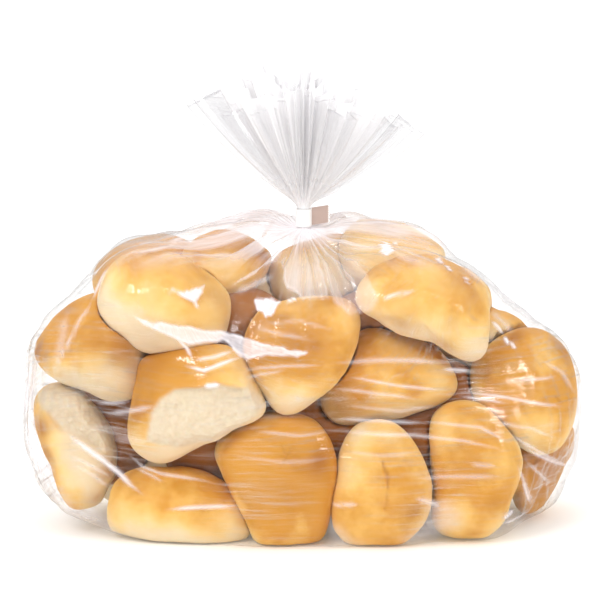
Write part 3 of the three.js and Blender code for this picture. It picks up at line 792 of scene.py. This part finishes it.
# Folded or crumpled patches of film on the side shown, and painted highlights, where a small white patch
# stands for a lamp's glint in the film: corners to the right of the neck's axis and above the floor, how
# milky they are, how crumpled, and how many millimetres they take to fade.
PATCHES_AND_GLINTS = (
    (((-92, 129), (-85, 127), (-72, 126), (-48, 122), (-35, 120), (-17, 114), (0, 111), (-4, 109), (-21, 110),
        (-30, 108), (-35, 110), (-39, 114), (-44, 117), (-57, 116), (-63, 116), (-72, 119),
        (-85, 124)), 0.58, 1.0, 1.2),
    # Painted highlights: these three small white patches stand for the lamps' glints in the film.
    (((-74, 144), (-69, 143), (-62, 144), (-56, 146), (-58, 142), (-59, 139), (-58, 135), (-61, 138),
        (-67, 141)), 0.85, 0.3, 1.1),
    (((-27, 138), (-12, 137), (-15, 134), (-18, 130), (-21, 129), (-22, 132), (-26, 133)), 0.85, 0.4, 1.0),
    (((44, 163), (47, 164), (50, 162), (49, 160), (46, 159), (44, 161)), 0.95, 0.1, 0.5),
    (((15, 17), (23, 10), (33, 3), (23, 1), (15, 4)), 0.2, 0.2, 4),
    (((54, 5), (64, 12), (71, 22), (79, 26), (88, 20), (86, 12), (76, 7), (60, 3)), 0.22, 0.5, 5),
    (((-136, 29), (-129, 18), (-115, 15), (-108, 8), (-102, 4), (-108, 6), (-120, 7),
        (-134, 13)), 0.26, 0.4, 5),
    (((-4, 172), (-8, 167), (-12, 157), (-11, 149), (-9, 144), (0, 138), (14, 139), (12, 147), (8, 158),
        (5, 166), (4, 172)), 0.34, 0.5, 1.3),
    (((6, 172), (15, 171), (24, 166), (33, 154), (41, 140), (37, 133), (26, 130), (17, 136), (12, 148),
        (8, 161)), 0.28, 0.6, 1.7),
)
# Bright lines in the film on the side shown, painted as white milk: partly milky stretch lines, and partly
# painted highlights, where the lamps' reflections run along the wrinkles. For each half width in
# millimetres: the points that a line runs through, and its strength.
STREAKS_AND_GLINTS = {
    0.95: (
        (((-99, 54), (-90, 46), (-80, 43), (-49, 39)), 0.43), (((-94, 45), (-77, 38)), 0.34),
        (((-130, 50), (-107, 38)), 0.31), (((-128, 45), (-107, 32)), 0.27),
        (((-117, 79), (-104, 81), (-95, 83)), 0.36), (((-117, 139), (-128, 117), (-140, 95)), 0.38),
        (((-109, 155), (-113, 147), (-118, 137)), 0.63),
        (((-109, 154), (-97, 162), (-77, 164), (-51, 171), (-13, 174)), 0.54),
        (((-69, 160), (-47, 160), (-32, 159), (-20, 162)), 0.43),
        (((-64, 164), (-45, 167), (-23, 167)), 0.29), (((-41, 145), (-17, 157), (-9, 158)), 0.49),
        (((-10, 136), (-3, 138)), 0.81), (((-70, 119), (-64, 113), (-61, 107)), 0.6),
        (((-66, 104), (-55, 102), (-34, 109)), 0.78), (((-61, 107), (-49, 109), (-38, 112)), 0.59),
        (((-6, 110), (3, 111)), 0.81), (((-34, 102), (-10, 104), (12, 104)), 0.34),
        (((-32, 98), (-9, 102)), 0.3), (((76, 100), (93, 98)), 0.51), (((23, 97), (53, 91), (81, 88)), 0.43),
        (((84, 87), (108, 83), (151, 72)), 0.51), (((85, 85), (117, 78)), 0.38),
        (((15, 73), (42, 72), (70, 70)), 0.45), (((15, 66), (61, 64), (89, 60), (116, 53)), 0.38),
        (((66, 71), (98, 67), (116, 57)), 0.34), (((20, 81), (53, 77), (76, 80)), 0.27),
        (((92, 47), (108, 46)), 0.39), (((115, 63), (154, 33)), 0.43), (((122, 55), (158, 29)), 0.6),
        (((119, 46), (132, 16)), 0.43), (((124, 47), (144, 24)), 0.38), (((122, 38), (130, 17)), 0.63),
        (((110, 13), (130, 13)), 0.59), (((118, 20), (111, 15)), 0.78),
        (((85, 156), (105, 142), (125, 125)), 0.34), (((105, 125), (113, 116)), 0.68),
        (((40, 138), (62, 144)), 0.63), (((52, 165), (54, 163)), 0.84), (((75, 157), (79, 156)), 0.88),
        (((80, 154), (83, 152)), 0.81), (((91, 148), (92, 145)), 0.68), (((117, 112), (120, 107)), 0.78),
        (((117, 90), (145, 90)), 0.36), (((-154, 103), (-155, 86), (-158, 68)), 0.51),
        (((-151, 102), (-152, 87), (-153, 69)), 0.43), (((-158, 65), (-152, 50), (-141, 30)), 0.51),
        (((-154, 65), (-148, 51), (-139, 34)), 0.51), (((-156, 89), (-156, 67), (-151, 52)), 0.34),
        (((24, 173), (50, 169), (79, 159)), 0.33), (((28, 167), (55, 165), (85, 156)), 0.3),
        (((-27, 125), (-2, 127), (20, 122)), 0.22), (((-79, 155), (-58, 158), (-36, 151)), 0.18),
        (((-29, 69), (-2, 65), (15, 66)), 0.27), (((-43, 55), (-13, 51), (17, 52)), 0.2),
        (((20, 56), (42, 54), (67, 55)), 0.19), (((98, 71), (127, 64), (146, 54)), 0.3),
        (((134, 100), (147, 92), (155, 78)), 0.28),
    ),
    1.0: (
        (((113, 115), (116, 110)), 0.9),
    ),
    1.1: (
        (((-76, 23), (-35, 26)), 0.7), (((-31, 125), (-10, 120), (6, 117)), 0.3),
        (((15, 91), (40, 87), (66, 83)), 0.35), (((59, 41), (113, 40)), 0.35),
    ),
    1.3: (
        (((-111, 74), (-97, 77), (-80, 82)), 0.4), (((-55, 94), (-45, 95)), 0.8), (((15, 26), (31, 27)), 0.4),
    ),
    1.4: (
        (((-134, 63), (-114, 49), (-89, 30)), 0.85), (((15, 105), (51, 105), (84, 103)), 0.35),
    ),
    1.7: (
        (((-107, 61), (-85, 61)), 0.22), (((-39, 140), (-14, 151)), 0.35), (((61, 30), (79, 23)), 0.4),
        (((105, 130), (119, 116)), 0.3),
    ),
    2.3: (
        (((103, 143), (122, 127), (139, 113)), 0.28),
    ),
    2.6: (
        (((-131, 129), (-137, 100)), 0.25),
    ),
}


def patch_shares(points):
    """How milky and how crumpled the patches make the film; the milk includes the painted highlights."""
    milk, crumpling = np.zeros(len(points)), np.zeros(len(points))
    shown = smoothstep(10, -10, points[:, 1])
    ragged = 0.8 * noise(points, 5, 61) + 0.4 * noise(points, 2, 62)
    for corners, white, crumple, fade in PATCHES_AND_GLINTS:
        depth = depth_inside(points[:, (0, 2)], corners) + ragged
        share = shown * smoothstep(-fade, fade, depth)
        hem = shown * bell(depth - 0.5, 0.8) * smoothstep(2, 1, fade)
        milk = np.maximum(milk, white * share + 0.25 * hem)
        crumpling = np.maximum(crumpling, crumple * share)
    return milk, crumpling


def streak_and_glint_shares(points):
    """How strongly the bright lines show in the film: milky stretch lines and painted highlights."""
    shares = np.zeros(len(points))
    shown = np.flatnonzero(points[:, 1] < 12)
    spots = points[shown][:, (0, 2)] + 0.25 * noise(points[shown], 9, 63)[:, None]
    lines = [(wide, *line) for wide, group in STREAKS_AND_GLINTS.items() for line in group]
    for wide, course, strength in lines:
        course = np.array(course, float)
        lengths = np.linalg.norm(np.diff(course, axis=0), axis=1)
        nearest, along, passed = np.full(len(spots), np.inf), np.zeros(len(spots)), 0
        for a, b, length in zip(course, course[1:], lengths):
            share = np.clip((spots - a) @ (b - a) / length**2, 0, 1)
            distance = np.linalg.norm(spots - a - share[:, None] * (b - a), axis=1)
            along = np.where(distance < nearest, (passed + share * length) / lengths.sum(), along)
            nearest = np.minimum(nearest, distance)
            passed += length
        taper = np.minimum(smoothstep(-0.05, 0.3, along), smoothstep(1.05, 0.7, along))
        line = strength * taper * bell(nearest, wide * (0.4 + 0.6 * taper))
        shares[shown] = np.maximum(shares[shown], line)
    return shares * smoothstep(12, 0, points[:, 1])


def film_relief(points, turns, angles):
    """The film's folds and wrinkles, in millimetres out from its plain form, and how it looks there."""
    from_neck = np.hypot(points[:, 0], points[:, 1])
    reach = np.hypot(from_neck, NECK_BASE_Z - points[:, 2])
    above = smoothstep(95, 75, np.degrees(angles))
    round_neck = np.stack([np.cos(turns) * 40, np.sin(turns) * 40, reach * 0.08], 1)
    gathers = creases(round_neck, 5.5, 3) + 0.5 * creases(round_neck, 2.4, 4)
    relief = gathers * np.minimum(from_neck * 0.06, 1.5) * bell(reach, 75) * above
    off_floor = smoothstep(1, 10, points[:, 2])
    milk, crumpling = patch_shares(points)
    streaks = streak_and_glint_shares(points)
    shoulder = smoothstep(90, 140, points[:, 2])
    endward = smoothstep(105, 150, np.abs(points[:, 0]))
    loose = off_floor * (0.35 + 0.5 * np.maximum(shoulder, endward))
    relief += loose * (1.1 * creases(points, 30, 21) + 0.5 * creases(points, 13, 22))
    relief += crumpling * (0.7 * creases(points, 6, 23) + 0.4 * creases(points, 3, 24))
    drawn = points * (0.06, 0.06, 1) + (0.07 * noise(points, 70, 5))[:, None] * (0, 0, 60)
    relief += off_floor * 0.3 * creases(drawn, 6, 25) * (1 - bell(reach, 60))
    upright = points * (1, 1, 0.05)
    end_folds = endward * off_floor * smoothstep(125, 105, points[:, 2])
    relief += end_folds * 1.0 * creases(upright, 7, 26)
    folded = 0.45 * end_folds * smoothstep(0.22, 0.0, np.abs(noise(upright, 5, 27)))
    relief += 0.35 * streaks
    crown = smoothstep(150, 163, points[:, 2]) * smoothstep(135, 50, np.abs(points[:, 0]))
    pleats = np.clip(0.55 + 0.9 * gathers, 0.2, 1.3)
    by_neck = bell(reach, 70) * above
    milk *= 1 - by_neck * (1 - np.clip(0.75 + 0.5 * gathers, 0.4, 1.2))
    # The bright lines and glints go into the film's milk: partly milky streaks, partly painted highlights.
    milk = np.maximum(np.maximum(milk, streaks), 0.4 * crown * pleats)
    milk = np.maximum(milk, above * (0.8 * bell(reach, 18) + 0.22 * bell(reach, 50) * pleats))
    stretched = off_floor * (0.5 + 0.5 * noise(points, 45, 41)) * (1 - 0.5 * shoulder)
    turned = smoothstep(70, 120, reach)[:, None]
    fan = round_neck * (1 - turned) + drawn * turned
    looks = {"milk": np.clip(milk, 0, 1), "stretched": np.clip(stretched, 0, 1), "fan": fan, "folded": folded}
    return np.maximum(relief, -1.3), looks


def grid_faces(rows, columns, wrap):
    """Quads over a grid of points, joined round where it wraps."""
    faces = []
    for row, column in itertools.product(range(rows - 1), range(columns if wrap else columns - 1)):
        start, beside = row * columns + column, row * columns + (column + 1) % columns
        faces.append((start, start + columns, beside + columns, beside))
    return faces


def make_film(material):
    angles, turns = film_axes()
    grid_angles, grid_turns = (part.ravel() for part in np.meshgrid(angles, turns, indexing="ij"))
    directions = rays(grid_angles, grid_turns)
    heart = np.array([0, 0, HEART_Z])
    points = heart + directions * read_grid(film_distance, grid_angles, grid_turns)[:, None]
    relief, looks = film_relief(points, grid_turns, grid_angles)
    points += directions * relief[:, None]
    points[:, 2] = np.maximum(points[:, 2], 0.1)
    collar = [
        np.stack([NECK_RADIUS * np.cos(turns), NECK_RADIUS * np.sin(turns), np.full(len(turns), z)], 1)
        for z in (SPLIT_Z, NECK_BASE_Z)
    ]
    points = np.concatenate([*collar, points, [[0, 0, 0.1]]])
    for key, values in looks.items():
        looks[key] = np.concatenate([values[: len(turns)]] * 2 + [values, values[-1:]])
    rows, columns = len(angles) + 2, len(turns)
    faces = grid_faces(rows, columns, wrap=True)
    start, pole = (rows - 1) * columns, rows * columns
    faces += [(start + c, pole, start + (c + 1) % columns) for c in range(columns)]
    return add_mesh("bag_film", points, faces, material, looks)


# ------------------------------------------------------------ the gathered top

# Each outer fold: its turn, from the right and on round by the back, how far it leans out from
# upright, both in degrees, and its length.
FRILL_FOLDS = (
    (8, 53, 81), (24, 46, 80), (42, 36, 87), (58, 30, 80), (75, 25, 81), (93, 18, 84), (110, 22, 76),
    (128, 28, 78), (146, 35, 74), (163, 43, 93), (178, 49, 92), (194, 46, 91), (212, 42, 80),
    (230, 34, 74), (248, 28, 76), (266, 20, 85), (283, 22, 80), (300, 30, 78), (317, 40, 74),
    (334, 51, 77), (350, 58, 86),
)
TUCK_LEAN = 0.66
TUCK_LENGTH = 0.9
FRILL_CURL = 0.18
FRILL_OPENING = 3
FRILL_STEPS = 26
FRILL_SHARES = (*np.linspace(0, 0.982, 38), 1.0)  # the last narrow step is the cut edge


def frill_sheet(name, inward, seed, material):
    """One layer of the frill. An inner layer leans out less."""
    folds = list(FRILL_FOLDS) + [(FRILL_FOLDS[0][0] + 360,) + FRILL_FOLDS[0][1:]]
    count = len(FRILL_FOLDS) * FRILL_STEPS
    spot = np.arange(count) / FRILL_STEPS
    turn, lean, length = (
        np.interp(spot, np.arange(len(folds)), [fold[part] for fold in folds]) for part in range(3)
    )
    turn = np.radians(turn + 8 * (1 - inward))
    circle = np.stack([np.cos(turn), np.sin(turn), np.zeros(count)], 1) * 30
    tuck = 0.5 - 0.5 * np.cos(2 * math.pi * (spot + 0.12 * noise(circle, 6, seed + 7)))
    uneven = noise(circle, 9, seed + 6)
    lean = np.radians(lean) * (1 - tuck * (1 - TUCK_LEAN) * (1 + 0.8 * uneven)) * inward
    ragged = 0.02 * creases(circle, 7.0, seed + 1)
    pointed = np.abs(np.sin(math.pi * spot)) ** 0.8
    length = length * (1 - pointed * (1 - TUCK_LENGTH) * (1.2 + uneven)) * (1.03 - 0.07 * inward + ragged)
    radius = np.full(count, NECK_RADIUS * (0.5 + 0.5 * inward))
    z = np.full(count, SPLIT_Z + TAPE_HEIGHT / 2)
    points, milk, fan, folded = [], [], [], []
    for share, last in zip(FRILL_SHARES, (*FRILL_SHARES[1:], 1.0)):
        ripple = 0.05 * noise(circle + (0, 0, 7 * share), 5, seed + 2) * share
        swing = turn + 0.16 * noise(circle + (0, 0, 5 * share), 9, seed + 3) * share
        pleats = (1 - share) * 0.04 * creases(circle, 2.2, seed + 4)
        points.append(np.stack([radius * np.cos(swing), radius * np.sin(swing), z], 1))
        gathered = 0.7 * math.exp(-share / 0.2)
        milk.append(gathered + 0.05 + 1.7 * (1 - inward) + 0.05 * noise(circle, 5, seed + 8))
        pulled = circle + (0, 0, 2.5 * share)
        lines = 0.5 * smoothstep(0.14, 0.0, np.abs(noise(pulled, 3.4, seed + 9)))
        lines *= 0.4 + 0.6 * (noise(pulled, 7, seed + 10) > 0)
        folded.append(np.full(count, 0.9) if share > 0.99 else lines)
        fan.append(np.stack([circle[:, 0] * 2, circle[:, 1] * 2, np.full(count, 5 * share + inward * 40)], 1))
        step, middle = (last - share) * length, (share + last) / 2
        opened = 1 - np.exp(-middle * length / FRILL_OPENING)
        angle = lean * opened * (1 + FRILL_CURL * (1 - 2 * middle)) + ripple + pleats
        radius = radius + np.sin(angle) * step
        z = z + np.cos(angle) * step
    faces = grid_faces(len(FRILL_SHARES), count, wrap=True)
    points = np.concatenate(points)
    looks = {"milk": milk, "fan": fan, "folded": folded}
    looks = {key: np.concatenate(values) for key, values in looks.items()}
    looks["stretched"] = np.full(len(points), 0.25)
    return add_mesh(name, points, faces, material, looks)


# ------------------------------------------------------------ making it all

film = film_material("film", 0.01, 0.95, FILM_MIRROR, FILM_MILK_AND_GLINT)
outer_film = film_material("outer_film", 0.09, 0.75, OUTER_MIRROR, FRILL_MILK)
inner_film = film_material("inner_film", 0.02, 0.3, INNER_MIRROR, FRILL_MILK)
crust = crust_material()

for seed, roll in enumerate(rolls):
    piece = make_roll(roll, 100 * seed + 1, crust)
    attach(piece, "root")
    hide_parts("filled_bag")

bag_film = make_film(film)
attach(bag_film, "root")
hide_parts("filled_bag")

for name, inward, seed in (("frill_outer", 1.0, 301), ("frill_middle", 0.72, 302), ("frill_inner", 0.4, 303)):
    sheet = frill_sheet(name, inward, seed, outer_film if inward == 1 else inner_film)
    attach(sheet, "root")
    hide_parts("gathered_top")

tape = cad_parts["neck_tape"]
tape.data.materials.clear()
tape.data.materials.append(tape_material())


# ------------------------------------------------------------ floor, light and camera


FLOOR_HALF = 40  # metres
FLOOR_GLOW = 0.1
HORIZON_LIGHT = 0.62
OVERHEAD_LIGHT = 1.35
VIEW_TARGET = (-0.002, 0, 0.1296)  # from the foot of the neck's axis
VIEW_DISTANCE = 1.4
VIEW_DOWN = 9  # degrees


def make_floor():
    """A wide pale floor, which is all that the camera sees behind the bag."""
    mesh = bpy.data.meshes.new("floor")
    corners = [(x * FLOOR_HALF, y * FLOOR_HALF, 0) for x, y in ((-1, -1), (1, -1), (1, 1), (-1, 1))]
    mesh.from_pydata(corners, [], [(0, 1, 2, 3)])
    material = plain_material("floor", (0.93, 0.93, 0.93, 1), 0.8)
    shader = material.node_tree.nodes["Principled BSDF"]
    shader.inputs["Emission Color"].default_value = (1, 1, 1, 1)
    shader.inputs["Emission Strength"].default_value = FLOOR_GLOW
    mesh.materials.append(material)
    floor = bpy.data.objects.new("floor", mesh)
    bpy.context.scene.collection.objects.link(floor)


def make_world():
    """A soft white studio: bright overhead and greyer towards the horizon."""
    world = bpy.data.worlds.new("world")
    world.use_nodes = True
    tree = world.node_tree
    tree.nodes.clear()
    direction = put(tree, "TexCoord").outputs["Generated"]
    height = put(tree, "SeparateXYZ", {0: direction}).outputs[2]
    rise = stepped(tree, height, 0.0, 0.9, HORIZON_LIGHT, OVERHEAD_LIGHT)
    light = put(tree, "Background", {0: (1, 1, 1, 1), 1: rise})
    put(tree, "OutputWorld", {0: light.outputs[0]})
    bpy.context.scene.world = world


def aim(item, at, target):
    item.location = at
    item.rotation_euler = (Vector(target) - Vector(at)).to_track_quat("-Z", "Y").to_euler()
    bpy.context.scene.collection.objects.link(item)


def area_light(name, at, size, power):
    light = bpy.data.lights.new(name, "AREA")
    light.shape = "RECTANGLE"
    light.size, light.size_y = size
    light.energy = power
    aim(bpy.data.objects.new(name, light), at, (0, 0, 0.1))


def make_camera():
    """The photograph's view, a little down on the bag."""
    target = neck + Vector(VIEW_TARGET)
    rise = math.radians(VIEW_DOWN)
    camera = bpy.data.cameras.new("camera")
    camera.lens = 145.8
    camera.sensor_width = 36
    item = bpy.data.objects.new("camera", camera)
    aim(item, target + Vector((0, -math.cos(rise), math.sin(rise))) * VIEW_DISTANCE, target)
    bpy.context.scene.camera = item


make_floor()
make_world()
area_light("key", (-0.85, -1.15, 1.25), (0.5, 0.4), 9)
area_light("strip", (1.25, -0.9, 0.9), (0.16, 0.9), 4)

bpy.context.scene.view_settings.view_transform = "Standard"
bpy.context.scene.cycles.transparent_max_bounces = 32
make_camera()

bpy.context.view_layer.update()
